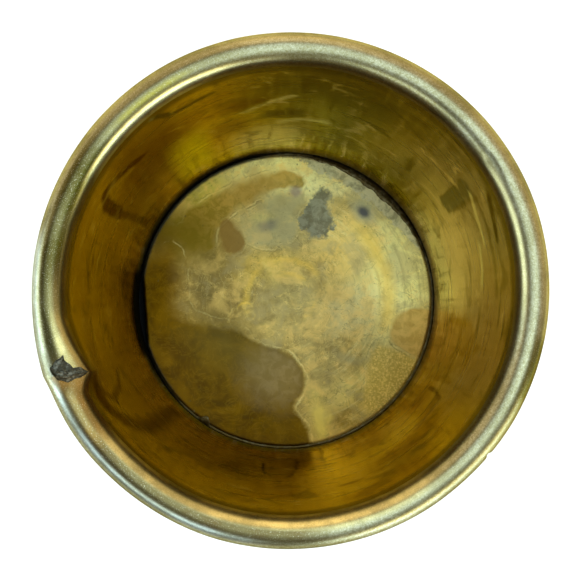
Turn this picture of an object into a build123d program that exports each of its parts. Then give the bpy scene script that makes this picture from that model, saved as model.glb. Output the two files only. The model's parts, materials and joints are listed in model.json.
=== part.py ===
from build123d import *
import os
from math import cos, pi, radians, sin

# A brass pen cup: a straight tube whose top edge is rolled over an iron wire, with a floor disc
# soldered into it. One spot of the rim has been crushed inwards and down, has split along its top
# and has been filled with solder.
# The origin is at the centre of the base and +Z points up to the open mouth. Lengths are in
# millimetres. Angles run from +X towards +Y, in degrees.

# Driving dimensions
cup_height = 100.0
rim_diameter = 84.0
sheet = 0.8  # thickness of the brass sheet

bead_radius = 2.6  # outside of the rolled rim
roll_turn = 308.0  # how far the edge is rolled, stopping just short of the wall
wire_clearance = 0.1  # between the roll and the wire inside it

floor_height = 3.5  # top of the floor above the base
floor_thickness = 1.0
floor_gap = 0.6  # between the floor's edge and the wall
floor_flat_angle = 184.0  # middle of the flat where the floor's edge is cut short
floor_flat_depth = 1.1
solder_open_angle = 35.0  # length of the solder ring's gap, beside that flat
solder_height = 3.0  # top of the solder between the floor's edge and the wall
solder_leg = 1.2  # reach of the solder below the floor, along the floor and down the wall

crease_angle = 202.0  # deepest line of the crushed spot
crush_before = 12.0  # how far the crushed spot reaches before the crease
crush_after = 5.0  # and how far beyond it
crush_in = 1.9  # how far the rim's inner edge is pushed in at the crease
crush_out = 0.5  # how far its outer edge is pushed out there
crush_down = 1.0  # how far its top is pushed down there
dent_depth = 26.0  # how far below the mouth the wall is pushed in
loft_steps = 17  # the crushed spot is lofted through sections spaced evenly, one degree apart

# The split in the crushed spot: (radius, angle) of its corners, seen from above
split_corners = [
    (38.1, 195.9),
    (37.5, 199.0),
    (36.3, 200.1),
    (35.3, 202.3),
    (38.7, 202.8),
    (40.1, 201.3),
    (41.0, 198.8),
    (39.5, 196.9),
]

# Worked out from the driving dimensions
bead_centre_radius = rim_diameter / 2 - bead_radius
bead_centre_height = cup_height - bead_radius
wall_inner_radius = bead_centre_radius - bead_radius
wall_outer_radius = wall_inner_radius + sheet
wire_radius = bead_radius - sheet - wire_clearance
floor_radius = wall_inner_radius - floor_gap
floor_underside = floor_height - floor_thickness

crush_start = crease_angle - crush_before
crush_end = crease_angle + crush_after
crush_turn = crush_end - crush_start
crush_angles = [crush_start + crush_turn * step / loft_steps for step in range(loft_steps + 1)]
sound_turn = 360 - crush_turn


def radial_plane(angle):
    """The plane through the axis at this angle: local x is the radius, local y the height."""
    outward = (cos(radians(angle)), sin(radians(angle)), 0)
    return Plane((0, 0, 0), x_dir=outward, z_dir=(outward[1], -outward[0], 0))


def crush_at(angle):
    """How badly the rim is crushed at this angle: 1 at the crease, 0 at both ends of the spot."""
    reach = crush_before if angle < crease_angle else crush_after
    return (1 + cos(pi * (angle - crease_angle) / reach)) / 2


def bead_at(angle):
    """The rolled rim's centre, half width and half height at this angle."""
    crush = crush_at(angle)
    centre = (
        bead_centre_radius + crush * (crush_out - crush_in) / 2,
        bead_centre_height - crush * crush_down / 2,
    )
    half_width = bead_radius + crush * (crush_out + crush_in) / 2
    half_height = bead_radius - crush * crush_down / 2
    return centre, half_width, half_height


def wall_section(angle):
    """The wall and its rolled rim, cut through at this angle."""
    centre, half_width, half_height = bead_at(angle)
    dent_bottom = cup_height - dent_depth
    dent_middle = (dent_bottom + centre[1]) / 2
    with BuildSketch(radial_plane(angle)) as section:
        with BuildLine():
            roll_outside = EllipticalCenterArc(
                centre, half_width, half_height, 180, arc_size=-roll_turn
            )
            roll_inside = EllipticalCenterArc(
                centre, half_width - sheet, half_height - sheet, 180, arc_size=-roll_turn
            )
            Line(roll_outside @ 1, roll_inside @ 1)
            for foot, head in (
                (wall_inner_radius, roll_outside @ 0),
                (wall_outer_radius, roll_inside @ 0),
            ):
                Line((foot, 0), (foot, dent_bottom))
                Bezier((foot, dent_bottom), (foot, dent_middle), (head.X, dent_middle), head)
            Line((wall_inner_radius, 0), (wall_outer_radius, 0))
        make_face()
    return section.sketch


def wire_section(angle):
    """The wire in the rim, squeezed flatter where the rim is crushed but no thinner."""
    centre, half_width, half_height = bead_at(angle)
    wire_half_height = half_height - sheet - wire_clearance
    wire_half_width = wire_radius**2 / wire_half_height
    with BuildSketch(radial_plane(angle)) as section:
        with Locations(centre):
            Ellipse(wire_half_width, wire_half_height)
    return section.sketch


# Wall and rolled rim: the sound part is turned about the axis, the crushed part is lofted
with BuildPart() as rolled_wall:
    revolve(wall_section(crush_end), axis=Axis.Z, revolution_arc=sound_turn)
    loft([wall_section(angle) for angle in crush_angles])

# The split reaches down through the top of the roll, as far as its crushed centre
split_floor = bead_at(crease_angle)[0][1]
split_depth = cup_height - split_floor
with BuildSketch(Plane.XY.offset(split_floor)) as split:
    Polygon(
        *[(r * cos(radians(angle)), r * sin(radians(angle))) for r, angle in split_corners],
        align=None,
    )

with BuildPart() as cup_wall:
    add(rolled_wall.part)
    extrude(split.sketch, amount=split_depth, mode=Mode.SUBTRACT)

# Solder that fills the split, flush with the roll
with BuildPart() as rim_solder:
    add(rolled_wall.part)
    extrude(split.sketch, amount=split_depth, mode=Mode.INTERSECT)

# Iron wire inside the rolled rim
with BuildPart() as rim_wire:
    revolve(wire_section(crush_end), axis=Axis.Z, revolution_arc=sound_turn)
    loft([wire_section(angle) for angle in crush_angles])

# Floor: a disc a little smaller than the tube, with one stretch of its edge cut short
with BuildPart() as floor_disc:
    with BuildSketch(Plane.XY.offset(floor_underside)):
        Circle(floor_radius)
        with PolarLocations(floor_radius, 1, start_angle=floor_flat_angle):
            Rectangle(2 * floor_flat_depth, 2 * floor_radius, mode=Mode.SUBTRACT)
    extrude(amount=floor_thickness)

# Solder under the floor and round its edge, missing beside the flat
solder_start = floor_flat_angle + solder_open_angle / 2
with BuildPart() as floor_solder:
    with BuildSketch(radial_plane(solder_start)):
        with BuildLine():
            Polyline(
                (floor_radius - solder_leg, floor_underside),
                (floor_radius, floor_underside),
                (floor_radius, solder_height),
                (wall_inner_radius, solder_height),
                (wall_inner_radius, floor_underside - solder_leg),
                close=True,
            )
        make_face()
    revolve(axis=Axis.Z, revolution_arc=360 - solder_open_angle)

cup_wall.part.label = "cup_wall"
rim_wire.part.label = "rim_wire"
rim_solder.part.label = "rim_solder"
floor_disc.part.label = "floor_disc"
floor_solder.part.label = "floor_solder"

os.makedirs("parts", exist_ok=True)
export_step(cup_wall.part, "parts/cup_wall.step")
export_step(rim_wire.part, "parts/rim_wire.step")
export_step(rim_solder.part, "parts/rim_solder.step")
export_step(floor_disc.part, "parts/floor_disc.step")
export_step(floor_solder.part, "parts/floor_solder.step")
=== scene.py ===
import json
from math import cos, pi, radians, sin, tan

import bmesh
import bpy
import numpy as np
from mathutils import Matrix, Vector, noise

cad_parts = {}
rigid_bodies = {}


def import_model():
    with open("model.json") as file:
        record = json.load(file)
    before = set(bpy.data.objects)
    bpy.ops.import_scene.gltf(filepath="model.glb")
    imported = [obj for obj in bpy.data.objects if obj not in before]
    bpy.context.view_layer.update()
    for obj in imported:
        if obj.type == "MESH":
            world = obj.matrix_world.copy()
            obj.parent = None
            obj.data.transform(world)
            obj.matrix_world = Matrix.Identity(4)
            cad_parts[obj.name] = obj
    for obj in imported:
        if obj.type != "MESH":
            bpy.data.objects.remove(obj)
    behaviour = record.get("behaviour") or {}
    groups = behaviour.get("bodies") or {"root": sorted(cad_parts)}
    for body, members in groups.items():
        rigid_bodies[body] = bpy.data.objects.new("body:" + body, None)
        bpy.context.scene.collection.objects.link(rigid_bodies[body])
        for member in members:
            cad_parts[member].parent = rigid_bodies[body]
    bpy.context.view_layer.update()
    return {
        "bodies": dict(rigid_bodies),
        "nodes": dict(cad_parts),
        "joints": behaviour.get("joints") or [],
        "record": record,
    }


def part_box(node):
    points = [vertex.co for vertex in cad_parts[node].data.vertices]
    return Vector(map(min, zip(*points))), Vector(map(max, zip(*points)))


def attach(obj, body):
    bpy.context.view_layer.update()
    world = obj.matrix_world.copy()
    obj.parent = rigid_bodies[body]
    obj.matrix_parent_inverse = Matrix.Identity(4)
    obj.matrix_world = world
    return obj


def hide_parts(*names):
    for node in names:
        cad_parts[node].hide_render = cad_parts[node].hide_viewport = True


# An old brass pen cup: a rolled-rim wall with a crushed, split and soldered spot, an iron wire in
# the rim, and a stained floor disc soldered in. Lengths are in metres, and MM is one millimetre.
# Angles run from +X towards +Y, in degrees.

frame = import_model()
scene = bpy.context.scene
MM = 0.001

# ---- sizes, from the frame

wall_low, wall_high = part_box("cup_wall")
wire_low, wire_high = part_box("rim_wire")
disc_low, disc_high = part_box("floor_disc")

SHEET = 0.8 * MM
RIM_RADIUS = wall_high.x
RIM_TOP = wall_high.z
BEAD_Z = (wire_low.z + wire_high.z) / 2
BEAD_RADIUS = RIM_TOP - BEAD_Z
BEAD_CENTRE = RIM_RADIUS - BEAD_RADIUS
WALL_INNER = BEAD_CENTRE - BEAD_RADIUS
WALL_OUTER = WALL_INNER + SHEET
FLOOR_RADIUS = disc_high.x
FLOOR_TOP = disc_high.z
FLOOR_BOTTOM = disc_low.z

# ---- mesh helpers


def mesh_object(name, vertices, faces, smooth=True):
    mesh = bpy.data.meshes.new(name)
    mesh.from_pydata([tuple(v) for v in vertices], [], faces)
    shell = bmesh.new()
    shell.from_mesh(mesh)
    bmesh.ops.recalc_face_normals(shell, faces=shell.faces)
    shell.to_mesh(mesh)
    shell.free()
    if smooth:
        mesh.shade_smooth()
    else:
        mesh.shade_flat()
    piece = bpy.data.objects.new(name, mesh)
    scene.collection.objects.link(piece)
    return piece


def grid_faces(rows, columns, close_rows, close_columns):
    """Quads over a grid of points, joined end to end where asked."""
    faces = []
    for i in range(rows if close_rows else rows - 1):
        here, below = i * columns, (i + 1) % rows * columns
        for j in range(columns if close_columns else columns - 1):
            beside = (j + 1) % columns
            faces.append((here + j, below + j, below + beside, here + beside))
    return faces


def spun(angle, radius, height):
    """Points at these angles, radii and heights, as an array with x, y, z last."""
    turn = np.radians(angle)
    return np.stack(np.broadcast_arrays(radius * np.cos(turn), radius * np.sin(turn), height), -1)


def spaced_angles(count, dense_spots):
    """Angles round the circle, closer together near each (angle, width, density) spot."""
    fine = np.linspace(0, 360, 7201)
    density = np.ones_like(fine)
    for middle, width, extra in dense_spots:
        density += extra * np.exp(-((away_from(fine, middle) / width) ** 4))
    total = np.concatenate([[0], np.cumsum((density[1:] + density[:-1]) / 2)])
    return np.interp(np.linspace(0, total[-1], count, endpoint=False), total, fine)


def rough(points, scale, octaves=3, seed=0.0):
    """Smooth noise between about -1 and 1 at each point; scale is bumps per metre."""
    flat = np.reshape(points, (-1, 3)) * scale
    shift = Vector((seed, seed * 1.7, -seed))
    values = [noise.fractal(Vector(p) + shift, 1.0, 2.0, octaves) for p in flat]
    return np.reshape(values, np.shape(points)[:-1])


def smoothstep(value, low, high):
    t = np.clip((value - low) / (high - low), 0, 1)
    return t * t * (3 - 2 * t)


def away_from(angle, middle):
    """Degrees from middle to angle, between -180 and 180."""
    return (angle - middle + 180) % 360 - 180


def smoothed(outline):
    """A closed outline, given in millimetres, with its corners cut off twice, in metres."""
    line = np.array(outline) * MM
    for _ in range(2):
        following = np.roll(line, -1, axis=0)
        pair = [0.75 * line + 0.25 * following, 0.25 * line + 0.75 * following]
        line = np.stack(pair, 1).reshape(-1, 2)
    return line


def distance_to_line(x, y, start, end):
    """How far these places are from the straight line between start and end."""
    (x0, y0), (x1, y1) = start, end
    dx, dy = x1 - x0, y1 - y0
    share = np.clip(((x - x0) * dx + (y - y0) * dy) / (dx**2 + dy**2), 0, 1)
    return np.hypot(x - x0 - share * dx, y - y0 - share * dy)


def depth_inside(points, outline):
    """Each point's distance from a closed outline, seen from above: positive inside it."""
    x, y = points[:, 0], points[:, 1]
    line = smoothed(outline)
    sides = list(zip(line, np.roll(line, -1, axis=0)))
    nearest = np.min([distance_to_line(x, y, *side) for side in sides], axis=0)
    inside = np.zeros(len(points), bool)
    for (x0, y0), (x1, y1) in sides:
        if y1 != y0:
            inside ^= ((y0 > y) != (y1 > y)) & (x < x0 + (y - y0) / (y1 - y0) * (x1 - x0))
    return np.where(inside, nearest, -nearest)


def vertices_of(piece):
    flat = np.empty(3 * len(piece.data.vertices), dtype=np.float32)
    piece.data.vertices.foreach_get("co", flat)
    return flat.reshape(-1, 3).astype(float)


def store(piece, name, values):
    """Keeps a number or a colour per vertex, which the piece's material reads by this name."""
    values = np.asarray(values, dtype=np.float32)
    if values.ndim == 1:
        layer = piece.data.attributes.new(name, "FLOAT", "POINT")
        layer.data.foreach_set("value", values)
    else:
        layer = piece.data.attributes.new(name, "FLOAT_COLOR", "POINT")
        opaque = np.ones(len(values), dtype=np.float32)
        layer.data.foreach_set("color", np.c_[values, opaque].ravel())


def mixed(colours, mask, tone):
    """The colours moved towards this tone, by as much as the mask says."""
    return colours + np.asarray(mask)[:, None] * (np.array(tone) - colours)


def in_ellipse(x, y, size, tilt, edge, ragged):
    """1 inside an ellipse of this half length and half width about the origin, 0 outside."""
    turn = radians(tilt)
    along = (x * cos(turn) + y * sin(turn)) / size[0]
    beside = (y * cos(turn) - x * sin(turn)) / size[1]
    return 1 - smoothstep(np.hypot(along, beside) + ragged, 1 - edge, 1 + edge)


def on_stroke(x, y, path, half_width, edge, ragged):
    """1 on a brush stroke along this path of points, 0 away from it."""
    nearest = np.min([distance_to_line(x, y, *leg) for leg in zip(path, path[1:])], axis=0)
    return 1 - smoothstep(nearest / half_width + ragged, 1 - edge, 1 + edge)


# ---- wall and rolled rim

CREASE = 202.4
CREASE_SKEW = 1.5
CRUSH_BEFORE = 14.0
CRUSH_AFTER = 5.2
CRUSH_IN = 1.9 * MM
CRUSH_OUT = 0.5 * MM
CRUSH_DOWN = 1.1 * MM
DENT_DEPTH = 26 * MM
ROLL_TURN = 308

# How far the rim stands out of round: (angle, distance in millimetres)
OUT_OF_ROUND = [
    (0, -0.08), (25, 0.15), (60, 0), (100, -0.02), (155, -0.2), (185, -0.02), (215, 0.25),
    (230, 0), (245, 0.05), (270, -0.1), (307, -0.3), (345, -0.1), (360, -0.08),
]


def crush_at(angle, across, spread=1.0):
    """How badly the rim is crushed, 0 to 1. Across runs from -1 at its inner edge to 1 outside."""
    crease = CREASE - CREASE_SKEW * (across + 1)
    beyond = away_from(angle, crease) / spread
    before = 0.07 * np.logaddexp(0, (1 + beyond / CRUSH_BEFORE) / 0.07)
    after = np.clip(1 - beyond / CRUSH_AFTER, 0, 1) ** 1.8
    return np.where(beyond < 0, before, after)


def out_of_round(angle):
    knots, offsets = zip(*OUT_OF_ROUND)
    steps = (-6, -3, 0, 3, 6)
    offset = sum(np.interp((angle + step) % 360, knots, offsets) for step in steps)
    return offset * MM / len(steps)


def crushed_roll(angle, across, up):
    """Radius and height of a point of the roll, given in bead radii from the bead's centre."""
    crush = crush_at(angle, across)
    shift = crush * ((CRUSH_OUT - CRUSH_IN) + across * (CRUSH_OUT + CRUSH_IN)) / 2
    radius = BEAD_CENTRE + across * BEAD_RADIUS + shift
    height = BEAD_Z + up * BEAD_RADIUS - crush * CRUSH_DOWN * (1 + up) / 2
    return radius, height


def wall_profile():
    """The sheet's closed outline at a sound place: radius, height, and whether it is the roll."""
    dent_start = BEAD_Z - 30 * MM
    bevel = 0.15 * MM
    lower = np.linspace(bevel, dent_start, 34)
    inner_z = np.concatenate([lower, np.linspace(dent_start, BEAD_Z, 30)[1:-1]])
    outer_z = np.concatenate([lower, np.linspace(dent_start, BEAD_Z, 18)[1:-1]])
    outside = np.radians(np.linspace(180, 180 - ROLL_TURN, 46))
    inside = np.radians(np.linspace(180 - ROLL_TURN, 180, 14))
    thin = BEAD_RADIUS - SHEET
    parts = [
        (WALL_INNER, inner_z, False),
        (BEAD_CENTRE + BEAD_RADIUS * np.cos(outside), BEAD_Z + BEAD_RADIUS * np.sin(outside), True),
        (BEAD_CENTRE + thin * np.cos(inside), BEAD_Z + thin * np.sin(inside), True),
        (WALL_OUTER, outer_z[::-1], False),
        ([WALL_OUTER - bevel, WALL_INNER + bevel], 0.0, False),
    ]
    radius, height, is_roll = zip(*[np.broadcast_arrays(*part) for part in parts])
    return np.concatenate(radius), np.concatenate(height), np.concatenate(is_roll)


# Shallow dings in the wall: (angle, height, half width, depth)
DINGS = [
    (318, 61 * MM, 7 * MM, 0.3 * MM),
    (262, 30 * MM, 9 * MM, 0.25 * MM),
    (74, 40 * MM, 16 * MM, 0.14 * MM),
    (150, 24 * MM, 6 * MM, 0.25 * MM),
    (20, 16 * MM, 5 * MM, 0.2 * MM),
]


def make_wall():
    sheet_radius, sheet_height, is_roll = wall_profile()
    angle = spaced_angles(560, [(200, 11, 3), (320, 3, 2), (35, 6, 0.8)])[:, None]
    across = (sheet_radius - BEAD_CENTRE) / BEAD_RADIUS
    up = (sheet_height - BEAD_Z) / BEAD_RADIUS
    roll_radius, roll_height = crushed_roll(angle, across, up)

    depth = np.clip((BEAD_Z - sheet_height) / DENT_DEPTH, 0, 1)
    fade = 1 - smoothstep(depth, 0, 1)
    pushed = crush_at(angle, -1.0, 1 + 1.3 * depth) * fade * CRUSH_IN
    wall_radius = sheet_radius - pushed
    wall_height = np.broadcast_to(sheet_height, wall_radius.shape)

    radius = np.where(is_roll, roll_radius, wall_radius)
    height = np.where(is_roll, roll_height, wall_height)
    reach = smoothstep(sheet_height, 20 * MM, 95 * MM)
    radius = radius + out_of_round(angle) * reach

    place = spun(angle, radius, height)
    on_rim = smoothstep(sheet_height, 93 * MM, 97 * MM)
    radius = radius + rough(place, 90, 2) * 0.05 * MM * on_rim
    radius = radius + rough(place, 28, 2, 5.0) * 0.07 * MM * reach
    height = height - (0.5 + 0.5 * rough(place, 60, 2, 9.0)) * 0.06 * MM * on_rim

    for middle, ding_height, width, ding_depth in DINGS:
        sideways = np.radians(away_from(angle, middle)) * WALL_OUTER
        distance = ((sideways / width) ** 2 + ((sheet_height - ding_height) / width) ** 2) ** 0.5
        radius = radius - ding_depth * (1 - smoothstep(distance, 0, 1))

    # A flat knock on the rim's inner shoulder, and a nick in its outer edge
    shoulder = np.exp(-((across + 0.55) ** 2) / 0.08) * (up > 0) * is_roll
    knock = smoothstep(away_from(angle, 24), 0, 9) * (1 - smoothstep(away_from(angle, 33), 0, 3))
    height = height - 0.22 * MM * shoulder * knock
    nick = np.exp(-((away_from(angle, 320) / 0.55) ** 2)) * smoothstep(across, 0.75, 1.0) * is_roll
    radius = radius - 0.45 * MM * nick

    points = spun(angle, radius, height)
    faces = grid_faces(points.shape[0], points.shape[1], True, True)
    return mesh_object("wall_sheet", points.reshape(-1, 3), faces)


# ---- the split and its solder

# The split's outline, seen from above, and the point that the solder's facets spread from
SPLIT_MIDDLE = (-36.4 * MM, -13.3 * MM)
SPLIT = [
    (-32.7, -13.3), (-33.4, -12.85), (-34, -12.5), (-34.5, -12.55), (-35, -12.65), (-35.4, -12.1),
    (-35.9, -11.75), (-36.35, -11.4), (-36.5, -10.5), (-37.1, -11.05), (-37.8, -11.5),
    (-38.2, -12.1), (-38.65, -12.5), (-38.8, -12.9), (-38.6, -13.4), (-38.1, -14), (-37.5, -14.6),
    (-36.6, -14.75), (-35.7, -15), (-35.2, -14.75), (-34.6, -14.4), (-33.85, -14.2), (-33.1, -13.7),
]


def split_outline(steps):
    """The split's outline in metres, with points between the corners and a torn, uneven edge."""
    corners = np.array(SPLIT) * MM
    following = np.roll(corners, -1, axis=0)
    along = np.arange(steps)[:, None, None] / steps
    line = (corners + (following - corners) * along).transpose(1, 0, 2).reshape(-1, 2)
    middle = np.array(SPLIT_MIDDLE)
    outward = line - middle
    wobble = rough(np.c_[line, np.zeros(len(line))], 2200, 2, 3.0)
    stretch = 1 + wobble * 0.07 * MM / np.linalg.norm(outward, axis=1)
    return middle + outward * stretch[:, None]


def bead_top(x, y):
    """Height of the rolled sheet's upper surface at this place, seen from above."""
    radius = np.hypot(x, y)
    angle = np.degrees(np.arctan2(y, x)) % 360
    across = (radius - BEAD_CENTRE) / BEAD_RADIUS
    for _ in range(6):
        crush = crush_at(angle, across)
        shift = crush * (CRUSH_OUT - CRUSH_IN) / 2
        half_width = BEAD_RADIUS + crush * (CRUSH_OUT + CRUSH_IN) / 2
        across = np.clip((radius - BEAD_CENTRE - shift) / half_width, -0.98, 0.98)
    return crushed_roll(angle, across, np.sqrt(1 - across**2))[1]


def cut_split(wall):
    """Cuts the split through the top of the roll."""
    outline = split_outline(3)
    count = len(outline)
    low, high = BEAD_Z - 0.5 * MM, RIM_TOP + 2 * MM
    ring = [np.c_[outline, np.full(count, level)] for level in (low, high)]
    sides = [(i, (i + 1) % count, count + (i + 1) % count, count + i) for i in range(count)]
    ends = [tuple(range(count))[::-1], tuple(range(count, 2 * count))]
    cutter = mesh_object("split_cutter", np.concatenate(ring), sides + ends, smooth=False)
    cut = wall.modifiers.new("split", "BOOLEAN")
    cut.operation = "DIFFERENCE"
    cut.solver = "MANIFOLD"
    cut.object = cutter
    view = bpy.context.evaluated_depsgraph_get()
    mesh = bpy.data.meshes.new_from_object(wall.evaluated_get(view))
    wall.modifiers.clear()
    wall.data = mesh
    bpy.data.objects.remove(cutter)
    mesh.materials.clear()
    mesh.shade_smooth()
    mesh.set_sharp_from_angle(angle=radians(40))


def make_rim_solder():
    outline = split_outline(3)
    middle = np.array(SPLIT_MIDDLE)
    rings = np.linspace(0.04, 1, 18)[:, None, None]
    flat = middle + (outline - middle) * rings
    shake = np.random.default_rng(4).normal(0, 0.045 * MM, flat.shape)
    shake[-1] = 0
    flat = flat + shake * rings
    surface = bead_top(flat[..., 0], flat[..., 1])
    turn = radians(CREASE - 4)
    along = flat[..., 0] * cos(turn) + flat[..., 1] * sin(turn)
    beside = flat[..., 1] * cos(turn) - flat[..., 0] * sin(turn)
    stretched = np.stack([along * 0.55, beside, np.zeros_like(along)], -1)
    ridges = 1 - 2 * np.abs(rough(stretched, 1500, 3, 2.0))
    lumps = rough(stretched, 700, 2, 8.0)
    sunk = 0.34 * MM - 0.16 * MM * ridges - 0.14 * MM * lumps
    top = surface - np.maximum(sunk, 0.04 * MM)
    under = surface[-1] - 1.0 * MM
    points = np.concatenate([np.dstack([flat, top]), np.dstack([flat[-1:], under[None]])])
    rows, columns = points.shape[:2]
    faces = grid_faces(rows, columns, False, True)
    faces += [tuple(range(columns))[::-1], tuple(range((rows - 1) * columns, rows * columns))]
    return mesh_object("rim_solder_patch", points.reshape(-1, 3), faces, smooth=False)


# ---- floor and its solder

FLAT_ANGLE = 184.0
FLAT_DEPTH = 1.1 * MM
OPEN_HALF = 17.5


def floor_edge(angle):
    """Radius of the floor's edge: cut short and chewed at the flat, slightly uneven elsewhere."""
    from_flat = np.clip(away_from(angle, FLAT_ANGLE), -60, 60)
    edge = np.minimum(FLOOR_RADIUS, (FLOOR_RADIUS - FLAT_DEPTH) / np.cos(np.radians(from_flat)))
    place = spun(angle, edge, 0.0)
    beside_flat = 1 - smoothstep(np.abs(from_flat), 14, 22)
    uneven = 0.05 * MM + 0.17 * MM * beside_flat
    return edge - uneven * np.abs(rough(place, 900, 3, 6.0))


def make_floor():
    angle = np.linspace(0, 360, 540, endpoint=False)[:, None]
    edge = floor_edge(angle)
    share = np.concatenate([np.linspace(0.002, 0.96, 80), [0.975, 0.985, 0.992, 0.997, 1.0]])
    radius = share * edge
    place = spun(angle, radius, 0.0)
    sag = 0.25 * MM * (1 - share**2)
    edge_round = 0.25 * MM * smoothstep(share, 0.985, 1.0) ** 2
    top = FLOOR_TOP - sag - edge_round + 0.05 * MM * rough(place, 70, 3, 1.0) * (1 - share**8)
    top = np.minimum(top, FLOOR_TOP)
    side = spun(angle, edge, FLOOR_BOTTOM + 0.15 * MM)
    under = spun(angle, edge - 0.15 * MM, FLOOR_BOTTOM)
    middle = spun(angle, 0.002 * edge, FLOOR_BOTTOM)
    points = np.concatenate([spun(angle, radius, top), side, under, middle], 1)
    rows, columns = points.shape[:2]
    faces = grid_faces(rows, columns, True, False)
    faces.append(tuple(i * columns for i in range(rows)))
    faces.append(tuple(i * columns + columns - 1 for i in range(rows))[::-1])
    return mesh_object("floor_plate", points.reshape(-1, 3), faces)


def solder_reach(angle):
    """How far the solder has run in over the floor's edge at each angle."""
    place = spun(angle, FLOOR_RADIUS, 0.0)
    wide = 1.6 * MM * np.exp(-((away_from(angle, 52) / 26) ** 2))
    blob = 1.5 * MM * np.exp(-((away_from(angle, 236) / 2.0) ** 2))
    ending = smoothstep(away_from(angle, 345), 0, 20)
    present = smoothstep(away_from(angle, 232), 0, 12) * (1 - ending)
    thin = 0.16 * MM * present
    uneven = 1 + 0.5 * rough(place, 300, 3, 4.0)
    return (wide + thin) * uneven + blob


def make_floor_solder():
    angle = np.linspace(FLAT_ANGLE + OPEN_HALF, FLAT_ANGLE - OPEN_HALF + 360, 640)[:, None]
    hollow = 1 - smoothstep(np.abs(away_from(angle, 160)), 40, 75)
    reach = solder_reach(angle)
    edge = floor_edge(angle)
    share = np.linspace(0, 1, 9)
    on_floor = edge - reach * (1 - share)
    film = 0.16 * MM * np.sin(pi * np.clip(share + 0.15, 0, 1)) + 0.05 * MM
    rise = np.clip(reach / (1.0 * MM), 0, 1)
    place = spun(angle, on_floor, 0.0)
    lumpy = 1 + 0.35 * rough(place, 500, 3, 7.0)
    film_top = FLOOR_TOP - 0.3 * MM + rise * (0.3 * MM + film * lumpy)
    groove_top = FLOOR_TOP - (0.22 + 0.5 * hollow) * MM
    groove = spun(angle, np.maximum(edge, FLOOR_RADIUS) + 0.12 * MM, groove_top)
    wall_radius = WALL_INNER + 0.05 * MM
    wall_side = spun(angle, wall_radius, 0.0)
    wall_top = groove_top + (0.15 + 0.12 * rough(wall_side, 700, 2)) * MM
    at_wall = spun(angle, wall_radius, wall_top)
    low_wall = spun(angle, wall_radius, 1.3 * MM)
    low_in = spun(angle, FLOOR_RADIUS - 1.2 * MM, FLOOR_BOTTOM)
    inner = spun(angle, edge - reach - 0.05 * MM, FLOOR_TOP - 0.6 * MM)
    film_points = spun(angle, on_floor, film_top)
    points = np.concatenate([inner, film_points, groove, at_wall, low_wall, low_in], 1)
    rows, columns = points.shape[:2]
    faces = grid_faces(rows, columns, False, True)
    faces.append(tuple(range(columns)))
    faces.append(tuple(range((rows - 1) * columns, rows * columns))[::-1])
    return mesh_object("floor_solder_bead", points.reshape(-1, 3), faces)


# ---- material graph helpers


class Field:
    """A value that varies over a surface; arithmetic on it adds nodes to its material."""

    def __init__(self, graph, socket):
        self.graph = graph
        self.socket = socket

    def __add__(self, other):
        return self.graph.math("ADD", self, other)

    __radd__ = __add__

    def __sub__(self, other):
        return self.graph.math("SUBTRACT", self, other)

    def __rsub__(self, other):
        return self.graph.math("SUBTRACT", other, self)

    def __mul__(self, other):
        return self.graph.math("MULTIPLY", self, other)

    __rmul__ = __mul__

    def __truediv__(self, other):
        return self.graph.math("DIVIDE", self, other)

    def __pow__(self, other):
        return self.graph.math("POWER", self, other)


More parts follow.
